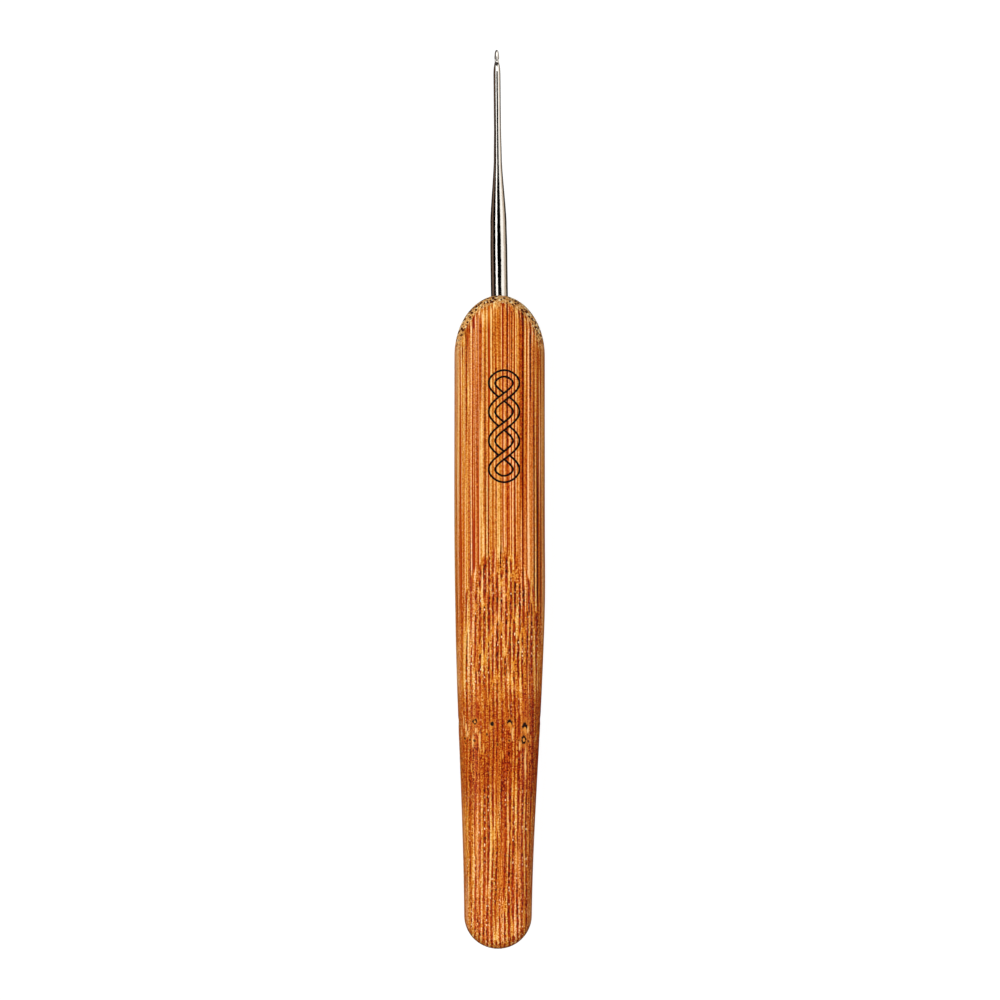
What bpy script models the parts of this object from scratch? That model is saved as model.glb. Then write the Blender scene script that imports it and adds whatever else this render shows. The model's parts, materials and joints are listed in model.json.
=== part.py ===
"""Crochet hook: a steel hook glued into a one-piece bamboo handle.

Lies on its back on the ground plane.  +Y points to the hook's tip, +Z is the
front face, where the throat opens.  Lengths below are millimetres; the meshes
are made in metres.
"""
import math

import bmesh
import bpy
import numpy as np

MM = 0.001

# ---------------------------------------------------------------- whole tool
OVERALL = 133.0                 # tip to butt (5 1/4 in)
TIP_Y = OVERALL / 2
BUTT_Y = -OVERALL / 2

# ---------------------------------------------------------------- handle
HANDLE_TOP_Y = 30.2             # crown of the dome, where the shank comes out
HALF_W = 6.72                   # half width over the grip
HALF_W_BUTT = 5.01              # half width just before the butt is rounded
TAPER_FROM_Y = -9.7             # the grip starts to narrow here
TAPER_TO_Y = -65.9
DOME_LEN = 8.95                 # the front end is half an ellipse this long
BUTT_LEN = 4.9                  # the butt is half an ellipse this long
HALF_T = 4.4                    # half thickness over the grip
HALF_T_BUTT = 3.45              # half thickness at the butt
EDGE_SIDE = 3.0                 # width of the rounding along the sides
EDGE_DOME = 2.5                 # at the crown of the dome
EDGE_BUTT = 1.9                 # at the butt
EDGE_POWER = 2.6                # squareness of the rounding across the thickness
FRONT_CROWN = 0.05              # the front face is slightly crowned, the back is one long flat
AXIS_Z = HALF_T                 # the steel's centre line above the ground plane

BORE_R = 1.55                   # blind bore for the tang
BORE_DEPTH = 28.6

# ---------------------------------------------------------------- steel
NECK_R = 0.525
NECK_END_R = 0.60
CONE_END_R = 1.20
SHANK_R = 1.257
NECK_GROWS_Y = 55.0             # from here the neck thickens very slowly
CONE_FROM_Y = 50.2
CONE_TO_Y = 41.1
SHANK_FROM_Y = 36.6
TANG_LEN = 28.0                 # buried in the handle
TANG_CHAMFER = 0.4

# ---------------------------------------------------------------- adhesive
GLUE_INNER_R = 1.31
GLUE_OUTER_R = 1.50
GLUE_BELOW_MOUTH = 0.9          # the glue line ends a little below the bore's mouth

RING = 48                       # points around the handle
STEEL_RING = 28                 # points around the steel

# Side view of the hook head.  Each station is one section of the metal, from
# the tip towards the neck: (distance from tip and height of its front point,
# distance from tip and height of its back point, half width).  Heights are
# from the steel's centre line.
HEAD = (
    (0.045, 0.130, 0.045, -0.100, 0.130),   # blunt, rounded tip
    (0.180, 0.240, 0.180, -0.185, 0.220),
    (0.440, 0.335, 0.440, -0.260, 0.290),
    (0.810, 0.405, 0.785, -0.310, 0.325),   # fullest part of the head
    (1.155, 0.445, 1.035, -0.340, 0.343),
    (1.375, 0.407, 1.170, -0.352, 0.340),   # edge of the lip, over the throat
    (1.383, 0.340, 1.243, -0.358, 0.333),
    (1.300, 0.192, 1.330, -0.367, 0.318),   # under the lip
    (1.317, 0.045, 1.435, -0.377, 0.308),
    (1.510, -0.052, 1.600, -0.392, 0.299),  # floor of the throat
    (1.776, -0.037, 1.820, -0.414, 0.311),
    (2.146, 0.111, 2.146, -0.451, 0.385),   # ramp back up to the neck
    (2.516, 0.311, 2.516, -0.488, 0.459),
    (2.886, 0.451, 2.886, -0.511, 0.503),
    (3.330, 0.518, 3.330, -0.525, 0.522),
    (3.700, 0.525, 3.700, -0.525, 0.525),   # full round neck
)


def clear_scene():
    for obj in list(bpy.data.objects):
        bpy.data.objects.remove(obj, do_unlink=True)


def smooth(t):
    t = np.clip(t, 0.0, 1.0)
    return t * t * (3.0 - 2.0 * t)


def material(name, colour, rough, metal):
    mat = bpy.data.materials.new(name)
    mat.use_nodes = True
    bsdf = mat.node_tree.nodes["Principled BSDF"]
    bsdf.inputs["Base Color"].default_value = (*colour, 1.0)
    bsdf.inputs["Roughness"].default_value = rough
    bsdf.inputs["Metallic"].default_value = metal
    mat.diffuse_color = (*colour, 1.0)
    return mat


def loft(name, rings, mat, start_pole=None, end_pole=None, sharp=math.radians(50)):
    """Closed skin over equal rings of (x, y, z) points in millimetres."""
    count = len(rings[0])
    verts = [tuple(MM * c for c in p) for ring in rings for p in ring]
    faces = []
    for i in range(len(rings) - 1):
        for k in range(count):
            n = (k + 1) % count
            a, b = i * count + k, i * count + n
            faces.append((a, a + count, b + count, b))
    if start_pole is not None:
        verts.append(tuple(MM * c for c in start_pole))
        top = len(verts) - 1
        faces += [(top, k, (k + 1) % count) for k in range(count)]
    if end_pole is not None:
        verts.append(tuple(MM * c for c in end_pole))
        end = len(verts) - 1
        base = (len(rings) - 1) * count
        faces += [(end, base + (k + 1) % count, base + k) for k in range(count)]
    mesh = bpy.data.meshes.new(name)
    mesh.from_pydata(verts, [], faces)
    bm = bmesh.new()
    bm.from_mesh(mesh)
    bmesh.ops.recalc_face_normals(bm, faces=bm.faces)
    bm.to_mesh(mesh)
    bm.free()
    mesh.shade_smooth()
    mesh.set_sharp_from_angle(angle=sharp)
    mesh.materials.append(mat)
    obj = bpy.data.objects.new(name, mesh)
    bpy.context.scene.collection.objects.link(obj)
    return obj


# ---------------------------------------------------------------- the handle
DOME_Y = HANDLE_TOP_Y - DOME_LEN
ROUND_Y = BUTT_Y + BUTT_LEN


def grip_taper(y):
    return smooth((TAPER_FROM_Y - y) / (TAPER_FROM_Y - TAPER_TO_Y))


def half_width(y):
    """Half width of the outline seen from the front."""
    y = np.asarray(y, dtype=float)
    w = HALF_W + (HALF_W_BUTT - HALF_W) * grip_taper(y)
    up = np.clip((y - DOME_Y) / DOME_LEN, 0.0, 1.0)
    down = np.clip((ROUND_Y - y) / BUTT_LEN, 0.0, 1.0)
    return w * np.sqrt(1.0 - up ** 2) * np.sqrt(1.0 - down ** 2)


def half_thickness(y):
    return HALF_T + (HALF_T_BUTT - HALF_T) * grip_taper(y)


def edge_width(y):
    r = EDGE_SIDE + (EDGE_DOME - EDGE_SIDE) * smooth((y - DOME_Y + 4.0) / (DOME_LEN + 4.0))
    return r + (EDGE_BUTT - EDGE_SIDE) * smooth((ROUND_Y + 12.0 - y) / (BUTT_LEN + 12.0))


def row_positions(body_rows, end_rows):
    """Rows along the handle, closer together where the ends curve."""
    quarter = np.linspace(0.0, math.pi / 2, end_rows + 1)
    top = DOME_Y + DOME_LEN * np.cos(quarter)
    body = np.linspace(DOME_Y, ROUND_Y, body_rows + 1)[1:]
    low = ROUND_Y - BUTT_LEN * np.sin(quarter[1:])
    return np.concatenate([top, body, low])


_outline_y = row_positions(240, 160)
_outline_x = half_width(_outline_y)


def outline_distance(x, y):
    """Distance from points inside the outline to the nearest outline point."""
    x, y = np.atleast_1d(x), np.atleast_1d(y)
    ax, ay = _outline_x[:-1], _outline_y[:-1]
    bx, by = _outline_x[1:] - ax, _outline_y[1:] - ay
    px = np.abs(x)[:, None] - ax[None]
    py = y[:, None] - ay[None]
    t = np.clip((px * bx + py * by) / (bx * bx + by * by), 0.0, 1.0)
    return np.sqrt(np.min((px - t * bx) ** 2 + (py - t * by) ** 2, axis=1))


def half_depth(x, y):
    """Half thickness at a point of the outline, rounded towards its edge."""
    inset = np.clip(1.0 - outline_distance(x, y) / edge_width(y), 0.0, 1.0)
    return half_thickness(y) * (1.0 - inset ** 2) ** (1.0 / EDGE_POWER)


def crown(x, y):
    w = np.maximum(half_width(y), 1e-6)
    return 1.0 - FRONT_CROWN * np.clip(x / w, -1.0, 1.0) ** 2


def handle_ring(y):
    """Closed section of the handle at one place along it."""
    turn = np.linspace(0.0, 2.0 * math.pi, RING, endpoint=False)
    x = half_width(y) * np.cos(turn)
    ys = np.full(RING, y)
    z = half_depth(x, ys)
    waist = np.abs(np.sin(turn)) < 1e-9
    z[waist] = 0.0
    front = np.sin(turn) > 0.0
    z = np.where(front, z * crown(x, ys), -z)
    return np.stack([x, ys, z], axis=1)


def skin_y(x, z):
    """Where the dome's skin lies, in Y, for points given across the handle."""
    low = np.full(len(x), DOME_Y - 2.0)
    high = np.full(len(x), HANDLE_TOP_Y)
    for _ in range(40):
        mid = 0.5 * (low + high)
        inside = (np.abs(x) < half_width(mid)) & (half_depth(x, mid) > np.abs(z))
        low = np.where(inside, mid, low)
        high = np.where(inside, high, mid)
    return 0.5 * (low + high)


def build_handle(mat):
    rows = row_positions(40, 11)
    rings = [handle_ring(y) for y in rows if HANDLE_TOP_Y - 1.6 > y > BUTT_Y + 1e-6]

    # the crown of the dome, between the first full section and the bore's mouth
    turn = np.linspace(0.0, 2.0 * math.pi, RING, endpoint=False)
    mouth = np.stack([BORE_R * np.cos(turn), BORE_R * np.sin(turn)], axis=1)
    first = rings[0][:, [0, 2]]
    crown_rings = []
    for step in range(5):
        f = step / 5.0
        xz = mouth * (1.0 - f) + first * f
        y = skin_y(xz[:, 0], xz[:, 1])
        crown_rings.append(np.stack([xz[:, 0], y, xz[:, 1]], axis=1))

    # the blind bore, down from its mouth, with a drill-point end
    floor_y = HANDLE_TOP_Y - BORE_DEPTH
    bore = []
    for y, r in ((floor_y, BORE_R), (HANDLE_TOP_Y - 3.0, BORE_R)):
        bore.append(np.stack([r * np.cos(turn), np.full(RING, y), r * np.sin(turn)], axis=1))
    rings = bore + crown_rings + rings
    # the back stays level while the grip thins; around the bore this is AXIS_Z
    for ring in rings:
        ring[:, 2] += half_thickness(ring[:, 1])
    obj = loft("bamboo_handle", rings, mat,
               start_pole=(0.0, floor_y - 0.6, AXIS_Z), end_pole=(0.0, BUTT_Y, HALF_T_BUTT))
    return obj


# ---------------------------------------------------------------- the steel
def steel_radius(y):
    r = NECK_R
    r += (NECK_END_R - NECK_R) * smooth((NECK_GROWS_Y - y) / (NECK_GROWS_Y - CONE_FROM_Y))
    t = np.clip((CONE_FROM_Y - y) / (CONE_FROM_Y - CONE_TO_Y), 0.0, 1.0)
    r += (CONE_END_R - NECK_END_R) * (0.6 * t + 0.4 * smooth(t))
    r += (SHANK_R - CONE_END_R) * smooth((CONE_TO_Y - y) / (CONE_TO_Y - SHANK_FROM_Y))
    return r


def head_sections(steps):
    """The stations of the head, filled in with a smooth curve through them."""
    pts = np.array(HEAD)
    pts = np.concatenate([2 * pts[:1] - pts[1:2], pts, 2 * pts[-1:] - pts[-2:-1]])
    out = []
    for i in range(1, len(pts) - 2):
        p0, p1, p2, p3 = pts[i - 1:i + 3]
        for s in range(steps):
            t = s / steps
            out.append(0.5 * ((2 * p1) + (p2 - p0) * t + (2 * p0 - 5 * p1 + 4 * p2 - p3) * t ** 2
                              + (3 * p1 - p0 - 3 * p2 + p3) * t ** 3))
    out.append(pts[-2])
    return out


def build_steel(mat):
    turn = np.linspace(0.0, 2.0 * math.pi, STEEL_RING, endpoint=False)
    rings = []
    for uf, zf, ub, zb, w in head_sections(3):
        front, back = np.array((TIP_Y - uf, zf)), np.array((TIP_Y - ub, zb))
        mid, half = 0.5 * (front + back), 0.5 * (front - back)
        yz = mid[None] + np.sin(turn)[:, None] * half[None]
        rings.append(np.stack([w * np.cos(turn), yz[:, 0], AXIS_Z + yz[:, 1]], axis=1))
    tang_y = HANDLE_TOP_Y - TANG_LEN
    stations = np.concatenate([
        np.linspace(TIP_Y - 5.0, NECK_GROWS_Y, 4),
        np.linspace(NECK_GROWS_Y, CONE_FROM_Y, 5)[1:],
        np.linspace(CONE_FROM_Y, CONE_TO_Y, 13)[1:],
        np.linspace(CONE_TO_Y, SHANK_FROM_Y, 6)[1:],
        np.linspace(SHANK_FROM_Y, tang_y + TANG_CHAMFER, 8)[1:],
    ])
    for y in stations:
        r = float(steel_radius(y))
        rings.append(np.stack([r * np.cos(turn), np.full(STEEL_RING, y), AXIS_Z + r * np.sin(turn)], axis=1))
    r = SHANK_R - TANG_CHAMFER
    rings.append(np.stack([r * np.cos(turn), np.full(STEEL_RING, tang_y), AXIS_Z + r * np.sin(turn)], axis=1))
    return loft("steel_hook", rings, mat, start_pole=(0.0, TIP_Y, AXIS_Z + 0.015),
                end_pole=(0.0, tang_y, AXIS_Z), sharp=math.radians(40))


# ---------------------------------------------------------------- the glue
def build_glue(mat):
    """A thin cup of cured adhesive around the tang and under its end."""
    turn = np.linspace(0.0, 2.0 * math.pi, STEEL_RING, endpoint=False)
    mouth = HANDLE_TOP_Y - GLUE_BELOW_MOUTH
    inner_floor = HANDLE_TOP_Y - TANG_LEN - 0.08
    outer_floor = HANDLE_TOP_Y - BORE_DEPTH + 0.08
    profile = [(GLUE_INNER_R, inner_floor), (GLUE_INNER_R, mouth),
               (GLUE_OUTER_R, mouth), (GLUE_OUTER_R, outer_floor)]
    rings = [np.stack([r * np.cos(turn), np.full(STEEL_RING, y), AXIS_Z + r * np.sin(turn)], axis=1)
             for r, y in profile]
    return loft("adhesive_sleeve", rings, mat, start_pole=(0.0, inner_floor, AXIS_Z),
                end_pole=(0.0, outer_floor, AXIS_Z))


def main():
    clear_scene()
    steel = material("plated_steel", (0.62, 0.60, 0.57), 0.16, 1.0)
    bamboo = material("carbonised_bamboo", (0.58, 0.19, 0.042), 0.36, 0.0)
    glue = material("cured_adhesive", (0.55, 0.42, 0.24), 0.30, 0.0)
    build_steel(steel)
    build_handle(bamboo)
    build_glue(glue)


main()
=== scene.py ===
"""Looks of the crochet hook: plated steel hook, one-piece carbonised bamboo handle."""
import json
import math

import bpy
import numpy as np
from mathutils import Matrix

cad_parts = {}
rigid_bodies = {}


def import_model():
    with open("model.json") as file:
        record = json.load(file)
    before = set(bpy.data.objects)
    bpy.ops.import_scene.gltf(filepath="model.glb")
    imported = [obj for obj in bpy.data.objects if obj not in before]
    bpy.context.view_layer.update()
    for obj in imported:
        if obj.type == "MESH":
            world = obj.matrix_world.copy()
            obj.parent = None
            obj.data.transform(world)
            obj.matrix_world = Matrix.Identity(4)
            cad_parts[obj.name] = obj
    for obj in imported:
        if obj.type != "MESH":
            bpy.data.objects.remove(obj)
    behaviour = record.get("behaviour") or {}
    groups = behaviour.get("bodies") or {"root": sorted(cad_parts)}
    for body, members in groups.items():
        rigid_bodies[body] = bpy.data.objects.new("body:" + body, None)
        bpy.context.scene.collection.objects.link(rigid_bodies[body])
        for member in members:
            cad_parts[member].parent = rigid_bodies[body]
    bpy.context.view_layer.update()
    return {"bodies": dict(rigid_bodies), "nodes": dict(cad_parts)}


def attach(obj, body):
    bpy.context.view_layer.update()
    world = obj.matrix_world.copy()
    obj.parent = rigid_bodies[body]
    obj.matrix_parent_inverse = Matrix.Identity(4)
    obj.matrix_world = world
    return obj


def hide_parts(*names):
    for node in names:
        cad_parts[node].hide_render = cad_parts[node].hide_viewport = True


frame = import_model()
BODY = next(iter(frame["bodies"]))
MM = 0.001

# ------------------------------------------------------------------ sizes (mm), the same as the CAD's
TIP_Y, BUTT_Y = 66.5, -66.5
HANDLE_TOP_Y = 30.2
HALF_W, HALF_W_BUTT = 6.72, 5.01
TAPER_FROM_Y, TAPER_TO_Y = -9.7, -65.9
DOME_LEN, BUTT_LEN = 8.95, 4.9
HALF_T, HALF_T_BUTT = 4.4, 3.45
EDGE_SIDE, EDGE_DOME, EDGE_BUTT, EDGE_POWER = 3.0, 2.5, 1.9, 2.6
FRONT_CROWN = 0.05
AXIS_Z = HALF_T
BORE_R, BORE_DEPTH = 1.55, 28.6
NECK_R, NECK_END_R, CONE_END_R, SHANK_R = 0.525, 0.60, 1.20, 1.257
NECK_GROWS_Y, CONE_FROM_Y, CONE_TO_Y, SHANK_FROM_Y = 55.0, 50.2, 41.1, 36.6
TANG_LEN, TANG_CHAMFER = 28.0, 0.4
DOME_Y = HANDLE_TOP_Y - DOME_LEN
ROUND_Y = BUTT_Y + BUTT_LEN

HEAD = (   # stations of the head: (from tip, height) of the front, the same of the back, half width
    (0.045, 0.130, 0.045, -0.100, 0.130),
    (0.180, 0.240, 0.180, -0.185, 0.220),
    (0.440, 0.335, 0.440, -0.260, 0.290),
    (0.810, 0.405, 0.785, -0.310, 0.325),
    (1.155, 0.445, 1.035, -0.340, 0.343),
    (1.375, 0.407, 1.170, -0.352, 0.340),
    (1.383, 0.340, 1.243, -0.358, 0.333),
    (1.300, 0.192, 1.330, -0.367, 0.318),
    (1.317, 0.045, 1.435, -0.377, 0.308),
    (1.510, -0.052, 1.600, -0.392, 0.299),
    (1.720, -0.040, 1.780, -0.412, 0.308),
    (1.970, 0.085, 1.970, -0.436, 0.352),
    (2.220, 0.235, 2.220, -0.460, 0.405),
    (2.600, 0.360, 2.600, -0.495, 0.465),
    (3.100, 0.468, 3.100, -0.518, 0.508),
    (3.700, 0.525, 3.700, -0.525, 0.525),
)

NODE_Y = -32.6                  # the culm node, where the branch of the fibres is
ARCH_Y = -6.6                   # where the cut starts to run across the fibre layers
# burnt-in root scars of the node: (x, y, radius across, radius along)
SCARS = (   # scars of the node: place, half width, half height, size of the opening and how low it sits
    (-3.64, -32.67, 0.36, 0.42, 0.50, 0.15),
    (-1.10, -33.02, 0.30, 0.36, 0.0, 0.0),
    (1.50, -32.85, 0.38, 0.44, 0.75, 0.60),
    (3.72, -33.45, 0.40, 0.66, 0.70, 0.70),
    (5.78, -33.60, 0.19, 0.75, 0.0, 0.0),
    (3.58, -35.35, 0.38, 0.66, 0.45, 0.10),
    (-5.10, -35.20, 0.18, 0.20, 0.0, 0.0),
    (-4.35, -35.40, 0.16, 0.18, 0.0, 0.0),
    (-3.70, -35.50, 0.19, 0.22, 0.0, 0.0),
    (-5.00, -35.95, 0.13, 0.15, 0.0, 0.0),
    (-1.86, -34.55, 0.15, 0.24, 0.0, 0.0),
    (-0.30, -36.10, 0.15, 0.20, 0.0, 0.0),
    (1.42, -35.50, 0.17, 0.20, 0.0, 0.0),
    (4.25, -35.60, 0.16, 0.22, 0.0, 0.0),
    (2.80, -35.45, 0.12, 0.16, 0.0, 0.0),
)
STREAKS = (   # pale fibres drawn out by the node: place and half length
    (-5.45, -32.60, 0.80), (-5.05, -33.60, 0.60), (-4.85, -34.55, 0.50), (-3.98, -35.60, 1.00),
    (-2.98, -35.50, 1.30), (1.85, -34.50, 1.00), (4.25, -33.90, 0.55), (3.92, -38.80, 2.40),
    (3.00, -36.30, 0.70), (-3.60, -34.00, 0.40), (5.72, -35.20, 0.40),
)
PALETTE = (   # the wood's colours from the darkest fibre to the palest
    (0.00, (0.060, 0.0040, 0.0004)), (0.12, (0.270, 0.0110, 0.0006)), (0.25, (0.430, 0.0450, 0.0012)),
    (0.40, (0.590, 0.1300, 0.0060)), (0.52, (0.670, 0.2000, 0.0150)), (0.65, (0.770, 0.3050, 0.0500)),
    (0.80, (0.880, 0.4350, 0.1300)), (1.00, (0.980, 0.6200, 0.3000)),
)


def smooth(t):
    t = np.clip(t, 0.0, 1.0)
    return t * t * (3.0 - 2.0 * t)


# ------------------------------------------------------------------ a small lattice noise
def _hash(ix, iy, iz, seed):
    h = (ix.astype(np.int64) * 73856093) ^ (iy.astype(np.int64) * 19349663) ^ (iz.astype(np.int64) * 83492791)
    h = (h ^ (seed * 2654435761)) & 0xFFFFFFFF
    h = ((h ^ (h >> 16)) * 0x45D9F3B) & 0xFFFFFFFF
    h = ((h ^ (h >> 16)) * 0x45D9F3B) & 0xFFFFFFFF
    return ((h ^ (h >> 16)) & 0xFFFFFFFF) / 4294967295.0


def noise(x, y, z, seed=1):
    """Value noise from -1 to 1."""
    x, y, z = np.broadcast_arrays(np.asarray(x, float), np.asarray(y, float), np.asarray(z, float))
    ix, iy, iz = np.floor(x), np.floor(y), np.floor(z)
    fx, fy, fz = smooth(x - ix), smooth(y - iy), smooth(z - iz)
    out = 0.0
    for dx in (0, 1):
        for dy in (0, 1):
            for dz in (0, 1):
                w = (fx if dx else 1 - fx) * (fy if dy else 1 - fy) * (fz if dz else 1 - fz)
                out = out + w * _hash(ix + dx, iy + dy, iz + dz, seed)
    return 2.0 * out - 1.0


# ------------------------------------------------------------------ the handle's form
def grip_taper(y):
    return smooth((TAPER_FROM_Y - y) / (TAPER_FROM_Y - TAPER_TO_Y))


def half_width(y):
    y = np.asarray(y, dtype=float)
    w = HALF_W + (HALF_W_BUTT - HALF_W) * grip_taper(y)
    up = np.clip((y - DOME_Y) / DOME_LEN, 0.0, 1.0)
    down = np.clip((ROUND_Y - y) / BUTT_LEN, 0.0, 1.0)
    return w * np.sqrt(1.0 - up ** 2) * np.sqrt(1.0 - down ** 2)


def half_thickness(y):
    return HALF_T + (HALF_T_BUTT - HALF_T) * grip_taper(y)


def edge_width(y):
    r = EDGE_SIDE + (EDGE_DOME - EDGE_SIDE) * smooth((y - DOME_Y + 4.0) / (DOME_LEN + 4.0))
    return r + (EDGE_BUTT - EDGE_SIDE) * smooth((ROUND_Y + 12.0 - y) / (BUTT_LEN + 12.0))


_q = np.linspace(0.0, math.pi / 2, 161)
_outline_y = np.concatenate([DOME_Y + DOME_LEN * np.cos(_q), np.linspace(DOME_Y, ROUND_Y, 241)[1:],
                             ROUND_Y - BUTT_LEN * np.sin(_q[1:])])
_outline_x = half_width(_outline_y)


def outline_distance(x, y):
    x, y = np.abs(np.atleast_1d(x)), np.atleast_1d(y)
    out = np.empty(len(x))
    ax, ay = _outline_x[:-1], _outline_y[:-1]
    bx, by = _outline_x[1:] - ax, _outline_y[1:] - ay
    ll = bx * bx + by * by
    for s in range(0, len(x), 20000):
        px = x[s:s + 20000, None] - ax[None]
        py = y[s:s + 20000, None] - ay[None]
        t = np.clip((px * bx + py * by) / ll, 0.0, 1.0)
        out[s:s + 20000] = np.sqrt(np.min((px - t * bx) ** 2 + (py - t * by) ** 2, axis=1))
    return out


def half_depth(x, y):
    inset = np.clip(1.0 - outline_distance(x, y) / edge_width(y), 0.0, 1.0)
    return half_thickness(y) * (1.0 - inset ** 2) ** (1.0 / EDGE_POWER)


def crown(x, y):
    w = np.maximum(half_width(y), 1e-6)
    return 1.0 - FRONT_CROWN * np.clip(x / w, -1.0, 1.0) ** 2


def relief(x, y, z):
    """How far the finished skin stands off the smooth form, along its normal (never proud of it)."""
    broad = 0.010 * noise(x / 1.7, y / 16.0, z / 1.7, 3)
    fibres = 0.006 * noise(x / 0.31, y / 9.0, z / 0.31, 5) + 0.004 * noise(x / 0.16, y / 6.0, z / 0.16, 7)
    # the culm node: a shallow groove, with a low swelling behind it
    d = y - (NODE_Y + 0.25 * np.sin(x * 0.45) + 0.12 * noise(x / 1.1, 0, z / 1.1, 11))
    node = -0.050 * np.exp(-(d / 0.45) ** 2) + 0.014 * np.exp(-((d + 1.7) / 1.0) ** 2)
    ripple = 0.010 * noise(x / 0.5, y / 1.6, z / 0.5, 13) * np.exp(-((y + 35.0) / 5.0) ** 2)
    h = broad + fibres + node + ripple
    front = z > 0.0
    for sx, sy, rx, ry, hole, drop_ in SCARS:
        d2 = ((x - sx) / rx) ** 2 + ((y - sy) / ry) ** 2
        h = h - np.where(front, 0.10 * min(1.0, rx / 0.25) * np.exp(-d2 * 1.1), 0.0)
        h = h + np.where(front, 0.012 * np.exp(-(np.sqrt(d2) - 1.7) ** 2 * 3.0), 0.0)
    return h - 0.030


def skin_y(x, z):
    low = np.full(len(x), DOME_Y - 2.0)
    high = np.full(len(x), HANDLE_TOP_Y)
    for _ in range(40):
        mid = 0.5 * (low + high)
        inside = (np.abs(x) < half_width(mid)) & (half_depth(x, mid) > np.abs(z))
        low = np.where(inside, mid, low)
        high = np.where(inside, high, mid)
    return 0.5 * (low + high)


def lean(y):
    """The drilled tang and the sanded grip are a touch out of true, as on the real tool (mm in X)."""
    steel = -0.02 - 0.41 * np.clip((y - HANDLE_TOP_Y) / 36.3, 0.0, 1.0) ** 0.85
    buried = -0.02 * smooth((y - 27.0) / 3.0)
    return np.where(y > HANDLE_TOP_Y, steel, buried)


def handle_lean(y):
    return -0.24 * smooth((-22.0 - y) / 42.0) + 0.07 * np.exp(-((y + 15.0) / 7.0) ** 2)


# ------------------------------------------------------------------ mesh helpers
def new_mesh(name, verts, faces, uvs=None, smooth_angle=math.radians(60)):
    mesh = bpy.data.meshes.new(name)
    mesh.from_pydata([tuple(v) for v in verts], [], faces)
    if uvs is not None:
        layer = mesh.uv_layers.new(name="OFBake")
        flat = np.asarray(uvs, dtype=np.float32).reshape(-1)
        layer.data.foreach_set("uv", flat)
    mesh.validate(clean_customdata=False)
    mesh.shade_smooth()
    mesh.set_sharp_from_angle(angle=smooth_angle)
    obj = bpy.data.objects.new(name, mesh)
    bpy.context.scene.collection.objects.link(obj)
    return obj


def tube(name, rings, v_coord, u_coord, start, end, flip=False, angle=math.radians(60)):
    """Closed skin over equal rings, with a map of (u around, v along)."""
    rings = np.asarray(rings)
    rows, count = rings.shape[:2]
    verts = list(rings.reshape(-1, 3) * MM)
    faces, uvs = [], []
    u = np.append(u_coord, 1.0) if len(u_coord) == count else u_coord
    for i in range(rows - 1):
        a0, a1 = i * count, (i + 1) * count
        v0, v1 = v_coord[i], v_coord[i + 1]
        for k in range(count):
            n = (k + 1) % count
            faces.append((a0 + k, a1 + k, a1 + n, a0 + n))
            uvs += [(u[k], v0), (u[k], v1), (u[k + 1], v1), (u[k + 1], v0)]
    verts.append(np.asarray(start) * MM)
    s = len(verts) - 1
    verts.append(np.asarray(end) * MM)
    e = len(verts) - 1
    base = (rows - 1) * count
    vs, ve = v_coord[0] - 0.002, v_coord[-1] + 0.002
    for k in range(count):
        n = (k + 1) % count
        faces.append((s, k, n))
        uvs += [((u[k] + u[k + 1]) / 2, vs), (u[k], v_coord[0]), (u[k + 1], v_coord[0])]
        faces.append((e, base + n, base + k))
        uvs += [((u[k] + u[k + 1]) / 2, ve), (u[k + 1], v_coord[-1]), (u[k], v_coord[-1])]
    if flip:
        out_uv, at = [], 0
        for f in faces:
            out_uv += uvs[at:at + len(f)][::-1]
            at += len(f)
        faces = [f[::-1] for f in faces]
        uvs = out_uv
    return new_mesh(name, verts, faces, uvs, angle)


# ------------------------------------------------------------------ the bamboo handle
def handle_turns(front, back):
    """Angles around the section, from the middle of the back round and back to it."""
    a = np.linspace(-math.pi / 2, 0.0, back // 2, endpoint=False)
    b = np.linspace(0.0, math.pi, front, endpoint=False)
    c = np.linspace(math.pi, 1.5 * math.pi, back // 2, endpoint=False)
    return np.concatenate([a, b, c])


def handle_rows():
    q = np.linspace(0.0, math.pi / 2, 30)[1:]
    top = DOME_Y + DOME_LEN * np.cos(q)
    top = top[top < HANDLE_TOP_Y - 1.45]
    rows, y = list(top), DOME_Y
    while y > ROUND_Y:
        near = math.exp(-((y + 33.8) / 2.6) ** 2)
        y -= 0.46 * (1.0 - near) + 0.13 * near
        rows.append(y)
    rows[-1] = ROUND_Y
    q = np.linspace(0.0, math.pi / 2, 18)[1:-1]
    return np.concatenate([rows, ROUND_Y - BUTT_LEN * np.sin(q)])


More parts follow.
